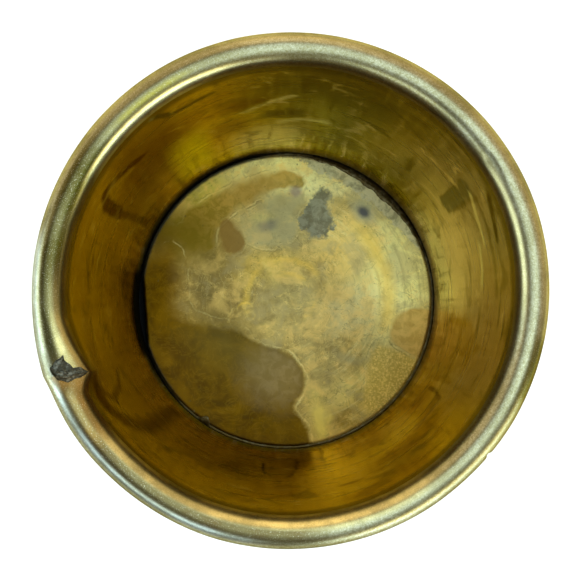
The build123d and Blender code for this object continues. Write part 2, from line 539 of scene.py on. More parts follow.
class Graph:
    """A material's node graph, with coordinates in millimetres."""

    def __init__(self, name):
        self.material = bpy.data.materials.new(name)
        self.material.use_nodes = True
        self.tree = self.material.node_tree
        self.shader = self.tree.nodes["Principled BSDF"]
        place = Field(self, self.add("ShaderNodeTexCoord").outputs["Object"])
        scaled = self.add("ShaderNodeVectorMath", {0: place, "Scale": 1 / MM}, operation="SCALE")
        self.place = Field(self, scaled.outputs[0])
        split = self.add("ShaderNodeSeparateXYZ", {0: self.place})
        self.x, self.y, self.z = (Field(self, out) for out in split.outputs)
        self.flat = self.vector(self.x, self.y, 0.0)
        self.radius = (self.x**2.0 + self.y**2.0) ** 0.5
        self.turn = self.math("WRAP", self.math("ARCTAN2", self.y, self.x) * (180 / pi), 360.0, 0.0)

    def feed(self, socket, value):
        """Links a field to this socket, or sets it to a number or a colour."""
        if isinstance(value, Field):
            self.tree.links.new(value.socket, socket)
        elif isinstance(value, tuple):
            socket.default_value = (*value, 1.0)
        else:
            socket.default_value = value

    def add(self, kind, values=None, **settings):
        """A new node with these settings, and these values fed to its sockets."""
        node = self.tree.nodes.new(kind)
        for key, value in settings.items():
            setattr(node, key, value)
        for key, value in (values or {}).items():
            self.feed(node.inputs[key], value)
        return node

    def math(self, operation, *values):
        node = self.add("ShaderNodeMath", dict(enumerate(values)), operation=operation)
        return Field(self, node.outputs[0])

    def vector(self, x, y, z):
        return Field(self, self.add("ShaderNodeCombineXYZ", {0: x, 1: y, 2: z}).outputs[0])

    def noise(self, scale, detail, roughness, distortion=0.0, at=None):
        """Noise from 0 to 1 about 0.5; scale is features per millimetre."""
        values = {"Vector": at or self.place, "Scale": scale, "Detail": detail}
        values |= {"Roughness": roughness, "Distortion": distortion}
        return Field(self, self.add("ShaderNodeTexNoise", values).outputs[0])

    def smooth(self, value, low, high):
        """0 below low, 1 above high, and a smooth step between; low may be the larger."""
        first, last = (1.0, 0.0) if low > high else (0.0, 1.0)
        values = {"Value": value, "From Min": min(low, high), "From Max": max(low, high)}
        values |= {"To Min": first, "To Max": last}
        node = self.add("ShaderNodeMapRange", values, interpolation_type="SMOOTHSTEP")
        return Field(self, node.outputs[0])

    def mix(self, factor, first, second):
        """Colour first where factor is 0, second where it is 1."""
        node = self.add("ShaderNodeMix", {0: factor, 6: first, 7: second}, data_type="RGBA")
        return Field(self, node.outputs[2])

    def layer(self, below, value, low, high, strength, tone):
        """Lays a tone over the colour below, growing to its strength from low to high."""
        return self.mix(self.smooth(value, low, high) * strength, below, tone)

    def around(self, middle):
        """Degrees from this angle round the axis, between -180 and 180."""
        return self.math("WRAP", self.turn - middle, 180.0, -180.0)

    def sector(self, middle, half_width, edge):
        """1 within this many degrees of middle, fading to 0 over the edge's degrees."""
        away = self.math("ABSOLUTE", self.around(middle))
        return self.smooth(away, half_width + edge, half_width)

    def band(self, value, middle, half_width):
        """A soft line, 1 where value is middle and 0 beyond half_width from it."""
        return self.smooth(self.math("ABSOLUTE", value - middle), half_width, 0.0)

    def spot(self, middle, size, tilt, edge, ragged):
        """1 inside an ellipse with this half length and half width, turned by tilt, 0 outside."""
        frame = self.add("ShaderNodeMapping", {"Vector": self.flat}, vector_type="TEXTURE")
        frame.inputs["Location"].default_value = (*middle, 0)
        frame.inputs["Rotation"].default_value = (0, 0, radians(tilt))
        frame.inputs["Scale"].default_value = (*size, 1)
        place = Field(self, frame.outputs[0])
        length = self.add("ShaderNodeVectorMath", {0: place}, operation="LENGTH")
        distance = Field(self, length.outputs["Value"]) + ragged
        return self.smooth(distance, 1 + edge, 1 - edge)

    def stored(self, name):
        """A number kept on the vertices, in millimetres."""
        node = self.add("ShaderNodeAttribute", attribute_name=name)
        return Field(self, node.outputs["Fac"]) * (1 / MM)

    def stored_colour(self, name):
        node = self.add("ShaderNodeAttribute", attribute_name=name)
        return Field(self, node.outputs["Color"])

    def finish(self, colour, metallic, roughness, bumps):
        """Connects the shader; bumps are (height, strength, distance in metres), one on another."""
        normal = None
        for height, strength, distance in bumps:
            values = {"Height": height, "Strength": strength, "Distance": distance}
            if normal:
                values["Normal"] = normal
            normal = Field(self, self.add("ShaderNodeBump", values).outputs[0])
        values = {"Base Color": colour, "Metallic": metallic}
        values |= {"Roughness": roughness, "Normal": normal}
        for key, value in values.items():
            self.feed(self.shader.inputs[key], value)
        return self.material


# ---- materials


OLIVE = (0.44, 0.39, 0.16)
MOSS = (0.26, 0.22, 0.065)
SAGE = (0.38, 0.35, 0.2)
STRAW = (0.96, 0.9, 0.56)
TAN = (1, 0.84, 0.5)
GOLD = (1, 0.74, 0.1)
YELLOW = (1, 0.9, 0.03)
BROWN = (0.52, 0.34, 0.01)
UMBER = (0.28, 0.18, 0.006)
BLACK = (0.02, 0.016, 0.01)
WHITE_GLINT = (0.95, 0.95, 0.85)

# Broad tones of the inner wall, partly painted reflection, painted light and painted shade of the
# mirror-like brass, partly its patina: (angle, height, half width in degrees, half height,
# strength, tone)
WALL_TONES_AND_REFLECTIONS = [
    (75, 55, 34, 70, 0.9, OLIVE),
    (28, 72, 34, 50, 0.8, (0.5, 0.47, 0.34)),
    (70, 90, 40, 26, 0.6, MOSS),
    (2, 20, 40, 60, 0.9, TAN),
    (345, 76, 28, 40, 0.75, (0.54, 0.43, 0.26)),
    (44, 30, 18, 50, 0.5, OLIVE),
    # These two, dark gold on the left and bottom, are partly painted shade.
    (178, 60, 34, 80, 0.85, (0.66, 0.47, 0.01)),
    (228, 40, 44, 80, 0.85, (0.86, 0.63, 0.014)),
    # These two, bright yellow on the lower right, are partly painted light.
    (287, 42, 12, 40, 0.85, (1, 0.75, 0.13)),
    (311, 38, 7, 24, 0.5, (1, 0.82, 0.3)),
    (134, 72, 18, 40, 0.75, (0.4, 0.27, 0.01)),
    # A painted reflection of light, bright yellow on the upper left.
    (124, 40, 9, 26, 0.85, YELLOW),
    (98, 26, 15, 20, 0.55, STRAW),
    (12, 14, 24, 20, 0.6, STRAW),
]

# Drips and lines on the inner wall, unrolled: (corners as (angle, height), half width, softness,
# strength, tone)
WALL_DRIPS = [
    ([(30.2, 78), (30, 53)], 2.15, 0.12, 0.55, MOSS),
    ([(30.3, 80), (30, 54)], 1.75, 0.12, 0.85, SAGE),
    ([(137.5, 75), (145, 80.5), (152, 84), (154.4, 78), (154.2, 60)], 1.35, 0.3, 0.8, UMBER),
    ([(154.2, 60), (151.5, 22)], 0.9, 0.6, 0.55, UMBER),
    ([(204, 91), (212, 88), (219, 79), (223.5, 66), (225, 18)], 1.9, 0.8, 0.65, UMBER),
    ([(206, 88), (211, 78), (209, 66), (204, 58)], 0.8, 0.7, 0.5, UMBER),
    ([(240, 60), (248, 55), (257, 40), (258, 20)], 2.6, 0.8, 0.3, UMBER),
    ([(261.4, 33), (262.4, 49), (265, 52)], 0.22, 0.6, 0.75, BLACK),
    ([(270.4, 52), (272.6, 42), (273.6, 28)], 0.22, 0.6, 0.65, BLACK),
    ([(331, 24), (332, 58), (338, 63.5), (347, 63), (351, 57), (352, 30)], 0.5, 0.8, 0.45, BROWN),
    ([(325.6, 55), (327.4, 46), (327.6, 36)], 0.4, 0.7, 0.75, UMBER),
    ([(0, 81), (14, 80.5), (26, 82)], 0.9, 0.8, 0.5, MOSS),
    ([(15, 86.5), (21, 88.5), (26, 92)], 1.1, 0.6, 0.8, MOSS),
    # The next four pale straw lines are painted highlights.
    ([(15, 75), (22, 75.5), (28, 79)], 0.9, 0.7, 0.8, STRAW),
    ([(3, 67.5), (9, 69), (14, 70)], 0.8, 0.7, 0.7, STRAW),
    ([(89, 72), (97, 66), (104, 61)], 1, 0.8, 0.5, STRAW),
    ([(78, 50), (86, 49), (92, 46)], 1.2, 0.8, 0.5, STRAW),
    ([(112, 87), (119, 86), (124, 87), (128, 93)], 0.9, 0.6, 0.8, MOSS),
]

# Stains and scratches of the inner wall, unrolled: (angle, height, half length, half width,
# tilt of its length in degrees, softness of its edge, strength, tone)
WALL_MARKS = [
    (47, 51, 7, 1, 88, 0.7, 0.5, MOSS),
    (61, 62, 4.4, 1.2, 10, 0.6, 0.6, MOSS),
    (75, 33, 7, 8.5, 0, 0.2, 0.35, MOSS),
    (84, 76, 1.4, 0.7, -30, 0.6, 0.6, MOSS),
    (90, 56, 5, 3.6, -14, 0.5, 0.65, MOSS),
    (103, 69, 5, 5, 20, 0.6, 0.45, UMBER),
    (109, 50, 4, 8, 0, 0.6, 0.4, UMBER),
    (103.5, 61, 0.5, 0.4, 0, 0.5, 0.8, BLACK),
    # A small painted glint just under the rim.
    (129, 93.6, 1, 0.7, 30, 0.4, 0.9, WHITE_GLINT),
    (168, 73, 2.8, 1.1, -12, 0.3, 0.6, UMBER),
    (167.2, 72.2, 2.1, 0.6, -12, 0.4, 0.7, GOLD),
    (165, 33, 3, 12, 0, 0.7, 0.6, GOLD),
    (173, 28, 3, 8, 0, 0.7, 0.4, UMBER),
    (249, 48, 8, 17, 0, 0.6, 0.35, UMBER),
    (209, 88, 3.4, 4, 0, 0.5, 0.6, UMBER),
    (212.5, 76, 0.7, 0.6, 0, 0.4, 0.8, BLACK),
    (265.5, 52.3, 2.6, 0.3, 5, 0.6, 0.6, BLACK),
    (268, 36, 4.2, 16, 0, 0.3, 0.35, UMBER),
    (275, 24, 2.4, 20, 0, 0.5, 0.4, UMBER),
    (288, 73.5, 2.6, 1, 12, 0.6, 0.6, UMBER),
    (306, 74, 6, 11, 0, 0.6, 0.35, UMBER),
    (316, 58.5, 1.9, 0.8, -10, 0.6, 0.8, UMBER),
    (342, 30, 7.5, 34, 0, 0.3, 0.5, BROWN),
    (322, 30, 4, 22, 0, 0.5, 0.4, BROWN),
    (350, 89, 2.4, 0.5, -6, 0.6, 0.7, MOSS),
    (353, 84, 3, 0.5, -10, 0.6, 0.7, MOSS),
    (349, 65, 5, 0.5, 8, 0.6, 0.5, MOSS),
]
# Millimetres round the wall per degree, and the radius between its inner and outer faces
WALL_DEGREE = radians(1) * WALL_INNER / MM
MID_SHEET = 37.3


def wall_tones_and_reflections(points):
    """Colours of the wall's inner face, with its tones, marks and drips one over another. Part of
    it is painted reflection, painted light and painted shade of the mirror-like brass, the rest
    stains and patina.
    """
    angle = np.degrees(np.arctan2(points[:, 1], points[:, 0])) % 360
    height = points[:, 2] / MM
    clouds = smoothstep(rough(points, 50, 3, 11.0), -0.35, 0.35)
    ragged = 0.3 * rough(points, 350, 3, 12.0)
    face = mixed(np.tile((0.72, 0.5, 0.04), (len(points), 1)), clouds, (0.86, 0.64, 0.08))
    for middle, centre, half_width, half_height, strength, tone in WALL_TONES_AND_REFLECTIONS:
        away = np.abs(away_from(angle, middle))
        across = 1 - smoothstep(away, half_width * 0.3, half_width * 1.2)
        up = 1 - smoothstep(np.abs(height - centre), half_height * 0.3, half_height * 1.2)
        face = mixed(face, across * up * strength, tone)
    for middle, centre, length, width, tilt, edge, strength, tone in WALL_MARKS:
        across = away_from(angle, middle) * WALL_DEGREE
        mark = in_ellipse(across, height - centre, (length, width), tilt, edge, ragged)
        face = mixed(face, mark * strength, tone)
    for corners, half_width, edge, strength, tone in WALL_DRIPS:
        start = corners[0][0]
        path = [((corner - start) * WALL_DEGREE, level) for corner, level in corners]
        across = away_from(angle, start) * WALL_DEGREE
        drip = on_stroke(across, height, path, half_width, edge, ragged * 0.5)
        face = mixed(face, drip * strength, tone)
    return face


# Tones of the rolled rim, one over another: (angle, half width and soft edge in degrees, ramps over
# the radius in millimetres, strength, tone)
CROWN = ((38.2, 38.8), (40.6, 40.1))
RIM_TONES = [
    (138, 30, 14, CROWN, 0.55, (0.2, 0.16, 0.05)),
    (172, 25, 10, ((40.6, 40.1),), 0.93, (0.088, 0.068, 0.012)),
    (156, 10, 12, ((38.6, 37.9),), 0.6, (0.15, 0.14, 0.008)),
    (246, 48, 26, ((39.3, 38.2),), 0.9, (0.78, 0.63, 0.25)),
    (244, 26, 12, CROWN, 0.9, (0.125, 0.076, 0.018)),
    (208, 6, 8, ((40.3, 39.7),), 0.9, (0.36, 0.21, 0.05)),
    (176, 20, 6, ((37.5, 37.2),), 0.6, (0.6, 0.45, 0.14)),
    (127, 5, 12, ((37.3, 38.4), (39.5, 38.4)), 0.85, (0.34, 0.27, 0.03)),
    # A painted highlight, yellow, on the inner edge.
    (128, 18, 10, ((37.9, 37.5),), 0.55, (0.95, 0.85, 0.42)),
    (80, 26, 14, ((38.7, 37.9),), 0.35, UMBER),
    (16, 18, 8, ((38.5, 38),), 0.7, (0.42, 0.34, 0.14)),
    (60, 85, 30, ((40.3, 41),), 0.7, (0.58, 0.47, 0.16)),
    # These two are painted highlights, pale and greenish, on the outer left.
    (182, 10, 8, ((40.5, 41.1),), 0.8, (0.62, 0.64, 0.5)),
    (230, 24, 14, ((39.8, 40.7), (41.6, 40.7)), 0.8, (0.52, 0.56, 0.48)),
    (341, 5, 6, ((39.5, 40.2),), 0.85, (0.19, 0.16, 0.03)),
]


def rim_face(g, speckle):
    """Colour of the rolled rim, pale on the right and dull olive and tan on the left, with painted
    highlights on its inner edge and outer left.
    """
    face = g.mix(g.smooth(speckle, 0.38, 0.62), (0.32, 0.28, 0.14), (0.45, 0.41, 0.25))
    for middle, half_width, edge, ramps, strength, tone in RIM_TONES:
        mask = g.sector(middle, half_width, edge)
        for ramp in ramps:
            mask = mask * g.smooth(g.radius, *ramp)
        face = g.mix(mask * strength, face, tone)
    face = g.layer(face, g.noise(0.11, 5, 0.66), 0.42, 0.6, 0.5, (0.22, 0.185, 0.075))
    sparkle = g.noise(5.5, 2, 0.7)
    face = g.layer(face, sparkle, 0.54, 0.68, 0.4, (0.12, 0.1, 0.035))
    face = g.layer(face, sparkle, 0.42, 0.3, 0.4, (0.95, 0.88, 0.6))
    scratches = g.noise(1, 2, 0.5, at=g.vector(g.radius * 0.5, g.turn * 1.4, 0))
    scratched = g.smooth(scratches, 0.72, 0.76) * g.smooth(g.noise(0.3, 2, 0.5), 0.5, 0.6)
    return g.mix(scratched * 0.6, face, (0.1, 0.08, 0.03))


def outer_skin(g, drawn, wander, flow):
    """Colour and dullness of the wall's outside: handled brass, tarnished in clouds and spots."""
    tarnish = g.smooth(g.noise(0.045, 5, 0.6, 0.9), 0.36, 0.66)
    skin = g.mix(tarnish, (0.6, 0.43, 0.14), (0.34, 0.235, 0.075))
    skin = g.layer(skin, flow, 0.54, 0.72, 0.45, (0.24, 0.17, 0.06))
    skin = g.layer(skin, drawn, 0.5, 0.74, 0.35, (0.22, 0.145, 0.04))
    skin = g.layer(skin, drawn, 0.44, 0.28, 0.3, (0.8, 0.62, 0.25))
    turned = g.noise(1, 3, 0.6, at=g.vector(g.x * 0.05, g.y * 0.05, g.z * 3))
    skin = g.layer(skin, turned, 0.56, 0.7, 0.25, (0.28, 0.19, 0.06))
    spots = g.smooth(g.noise(0.55, 3, 0.55), 0.7, 0.76)
    skin = g.mix(spots * 0.75, skin, (0.1, 0.065, 0.025))
    # Darker towards the foot and just under the overhanging rim.
    darker_foot = g.smooth(g.z + (wander - 0.5) * 9, 9, 0.5)
    under_rim = g.smooth(g.z + (wander - 0.5) * 4, 91, 95)
    skin = g.mix(darker_foot * 0.65, skin, (0.12, 0.09, 0.04))
    skin = g.mix(under_rim * 0.6, skin, (0.14, 0.1, 0.04))
    scuffs = g.noise(1, 2, 0.5, 1.2, at=g.vector(g.x * 0.2, g.y * 0.2, g.z * 0.9))
    skin = g.mix(g.band(scuffs, 0.6, 0.012) * 0.5, skin, (0.85, 0.7, 0.36))
    return skin, tarnish + spots + darker_foot


def wall_brass():
    g = Graph("old_wall_brass")
    streaks = g.noise(1, 5, 0.6, 0.6, at=g.vector(g.x * 0.06, g.y * 0.06, g.z * 0.7))
    drawn = g.noise(1, 4, 0.6, at=g.vector(g.x * 0.8, g.y * 0.8, g.z * 0.05))
    flow = g.noise(0.11, 5, 0.62, 1.4)
    wander = g.noise(0.35, 3, 0.6)
    speckle = g.noise(2.6, 3, 0.65)
    grain = g.noise(5, 2, 0.6)

    inside = g.smooth(g.radius, MID_SHEET, MID_SHEET - 0.2) * g.smooth(g.z, 97, 95.6)
    outside = g.smooth(g.radius, MID_SHEET, MID_SHEET + 0.2) * g.smooth(g.z, 96, 94.8)
    rim = 1 - g.math("MINIMUM", inside + outside, 1)

    # The stored colours of the inner face are partly painted reflection, light and shade, partly
    # stains and patina.
    face = g.stored_colour("wall_tones_and_reflections")
    low_streaks = g.smooth(g.z, 45, 12)
    face = g.layer(face, streaks, 0.5, 0.72, 0.25, MOSS)
    face = g.layer(face, drawn, 0.5, 0.7, 0.2 + 0.35 * low_streaks, UMBER)
    face = g.layer(face, drawn, 0.46, 0.34, 0.1 + 0.4 * low_streaks, TAN)
    face = g.layer(face, flow, 0.54, 0.66, 0.35, MOSS)
    face = g.layer(face, flow, 0.44, 0.32, 0.35, TAN)
    dark_lip = g.smooth(g.z, 91.5, 94.5) * g.smooth(g.radius, 37.2, 36.9)
    face = g.mix(dark_lip * 0.6, face, MOSS)
    # Darker towards the foot of the inner wall, most of all on the left: dirt, and painted shade
    # and painted reflection of the dark gap round the floor.
    foot_dirt_and_shade = g.smooth(g.z + (wander - 0.5) * 6, 14, 3.5)
    black_foot = 0.35 + 0.6 * g.sector(155, 50, 20)
    face = g.mix(foot_dirt_and_shade * black_foot, face, BLACK)
    left_dirt_and_shade = g.smooth(g.z + (wander - 0.5) * 5, 19, 8) * g.sector(185, 14, 5)
    face = g.mix(left_dirt_and_shade * 0.9, face, BLACK)

    skin, skin_dull = outer_skin(g, drawn, wander, flow)
    body = g.mix(outside, g.mix(rim, face, rim_face(g, speckle)), skin)
    roughness = 0.2 + 0.12 * streaks + (0.04 + 0.06 * speckle) * rim + 0.5 * foot_dirt_and_shade * inside
    roughness = roughness + outside * (0.08 + 0.22 * skin_dull)
    bumps = [
        (streaks, 0.22, 0.05 * MM),
        (grain * rim, 0.3, 0.03 * MM),
    ]
    g.feed(g.shader.inputs["Specular Tint"], body)
    return g.finish(body, 1, roughness, bumps)


# Outlines of the floor's stains, and of its dark side, which is partly painted shadow, seen from
# above, in millimetres
STAINS_AND_SHADOW = {
    "olive_band": [
        (-25.6, 18.8), (-25.6, 21.1), (-24.1, 23.2), (-21.1, 24.6), (-18, 26.2), (-14.8, 28.1),
        (-9.5, 30.1), (-4.2, 32), (1.1, 32.5), (5.3, 30.4), (3.7, 27.2), (-1.1, 27.9),
        (-4.2, 26.9), (-6.9, 24.6), (-10.6, 22.7), (-14, 20.9), (-17.2, 17.4), (-17.4, 13.7),
        (-19, 11.7), (-23, 10.8), (-25.1, 12.2), (-26.2, 14.5), (-29.1, 15.8), (-31.2, 13.7),
        (-32.2, 16.9), (-31.2, 19.6), (-28.5, 18.5),
    ],
    "grey_green": [
        (-13.7, 21.1), (-10.6, 21.9), (-6.6, 23.8), (-3.7, 26.2), (-1.1, 27), (3.7, 26.4),
        (5.8, 24.6), (2.6, 21.1), (3.2, 15.9), (-0.5, 13.2), (-5.3, 12.4), (-9.5, 13.7),
        (-10.3, 15.9), (-11.6, 19.6),
    ],
    # The dark side: partly painted shadow cast by the wall, partly dark patina.
    "dark_side_stain_and_shadow": [
        (-31.2, 13.7), (-29.1, 15.1), (-26.4, 13.7), (-24.6, 9.5), (-23.8, 4.8), (-24.3, 0),
        (-23, -2.5), (-19, -3.7), (-15.9, -4.8), (-12.2, -5.3), (-9.3, -7.4), (-8.2, -9.8),
        (-4.8, -10.8), (-0.5, -12.2), (2.4, -14), (4.3, -16.4), (5.1, -20.1), (4.5, -23.8),
        (1.8, -26.2), (4.2, -28.8), (6.1, -32.2), (6.9, -37), (-10, -44), (-40, -30),
        (-46, 0), (-38, 14),
    ],
    "brown_corner": [
        (25.4, -8.5), (26.2, -4.8), (28.3, -2.5), (31.7, -1.8), (37, -2.1), (38, -10.6),
        (36.5, -13.7), (32.8, -14.7), (29.1, -12.7), (26.2, -10.8),
    ],
    "speckled": [
        (22.7, -9.5), (26.4, -11.4), (33.3, -15.1), (38, -17), (33, -24), (26.4, -28.5),
        (21.7, -29.3), (18, -26.4), (19.3, -22.7), (19.6, -18.5), (20.1, -13.7),
    ],
    "grey_blob": [
        (7.9, 28.8), (10, 28.4), (11.4, 26.4), (12.3, 25.1), (10.8, 23.5), (11.7, 21.7),
        (12.7, 19), (11.4, 16.4), (9, 15.2), (6.3, 15.1), (4.2, 16.9), (2.6, 18.8),
        (2.9, 21.1), (4.8, 23), (5.9, 25.1), (7.1, 26.7),
    ],
    "bright_tongue": [
        (5.3, -21.1), (7.9, -21.7), (9.5, -25.4), (12.2, -28.5), (10.6, -32.2), (9.5, -37),
        (7.1, -37), (6.2, -31.2), (5, -27.5),
    ],
    "round_spot": [
        (-14.3, 20.6), (-11.6, 19.3), (-10.3, 16.4), (-10, 13.2), (-11.6, 11.4),
        (-14.8, 11.4), (-16.9, 13.2), (-17.3, 16.9), (-16.1, 19.8),
    ],
}


# Tones of the floor: (x, y, half length, half width, tilt of its length, strength, colour)
FLOOR_TONES = [
    (27, 6, 17, 9, 80, 0.95, (1, 0.9, 0.36)),
    (-2, 32, 22, 6, 0, 0.9, (1, 0.92, 0.4)),
    (-22, 26, 9, 4, 42, 0.8, (0.56, 0.46, 0.06)),
    (14, 30, 7, 4, -30, 0.6, (0.95, 0.8, 0.34)),
    (-2, 19, 9, 6, 10, 0.6, (0.62, 0.54, 0.24)),
    (-6, 20.5, 3, 1.2, 10, 0.7, (0.9, 0.74, 0.2)),
    (13, 11, 9, 6, 10, 0.8, (0.9, 0.6, 0.15)),
    (17, 17, 7, 3, -50, 0.7, (1, 0.72, 0.22)),
    (-6, 8, 9, 3.4, 12, 0.8, (0.92, 0.62, 0.12)),
    (1, 2, 8, 6, 20, 0.5, (0.44, 0.36, 0.14)),
    (8, -6, 12, 7, 15, 0.5, (0.6, 0.46, 0.17)),
    (17, -3, 7, 6, 0, 0.55, (0.84, 0.66, 0.28)),
    (10, -17, 10, 5, 25, 0.5, (0.56, 0.44, 0.16)),
    (17, -21, 8, 3, 30, 0.6, (0.9, 0.72, 0.22)),
    (22, -23, 5, 4, 50, 0.7, (0.98, 0.72, 0.16)),
    # These two darken the lower left: partly painted shadow, partly dark patina.
    (-19, 3, 12, 9, -25, 0.85, (0.28, 0.185, 0.05)),
    (-20, 2, 3, 3, 0, 0.5, (0.18, 0.12, 0.03)),
    (14, -32, 6, 3, 20, 0.6, (0.38, 0.25, 0.04)),
    (2, 15, 6, 4, 0, 0.4, (0.56, 0.46, 0.19)),
]


# Soft spots on the floor: (middle, half length and half width, tilt, softness, raggedness,
# strength, tone). The first lie under the floor's dark side, the next over it, the last on top.
# The dark side, with the dark spots under it, is partly painted shadow and partly dark patina.
LOW_SPOTS = [
    ((-27, 16), (10, 7), -20, 0.7, 0.15, 0.85, (0.2, 0.135, 0.008)),
    ((-32, 4), (5, 13), 0, 0.7, 0.15, 0.8, (0.14, 0.078, 0.004)),
]
HIGH_SPOTS = [
    ((-16, -10), (10, 6), -35, 0.9, 0.15, 0.45, (0.14, 0.1, 0.02)),
    ((-20, 4), (5, 7), 0, 0.8, 0.2, 0.25, (0.36, 0.27, 0.09)),
    ((-7, 29), (9, 3), 18, 0.6, 0.15, 0.5, (0.62, 0.39, 0.09)),
]
SMALL_SPOTS = [
    ((19.3, 22.2), (3.6, 2.6), -40, 0.5, 0.15, 0.55, (0.44, 0.44, 0.28)),
    ((19.3, 21.9), (1.7, 1.2), -40, 0.6, 0.15, 0.9, (0.08, 0.08, 0.09)),
    ((2.4, 27), (1.5, 1.3), 0, 0.6, 0.15, 0.7, (0.28, 0.2, 0.18)),
    ((-4.6, 18.4), (2.2, 1.4), 20, 0.7, 0.2, 0.6, (0.2, 0.19, 0.15)),
    ((15, -14.5), (3.2, 1.2), -15, 0.8, 0.15, 0.5, (0.34, 0.3, 0.15)),
]


def floor_tones(points):
    """Colours of the floor's clean brass, with its broad tones one over another."""
    x, y = points[:, 0] / MM, points[:, 1] / MM
    ragged = 0.45 * rough(points, 200, 3, 13)
    clouds = smoothstep(rough(points, 100, 3, 14), -0.35, 0.35)
    face = mixed(np.tile((0.42, 0.28, 0.07), (len(points), 1)), clouds, (0.6, 0.42, 0.12))
    for x0, y0, length, width, tilt, strength, tone in FLOOR_TONES:
        patch = in_ellipse(x - x0, y - y0, (length, width), tilt, 0.75, ragged)
        face = mixed(face, patch * strength, tone)
    return face


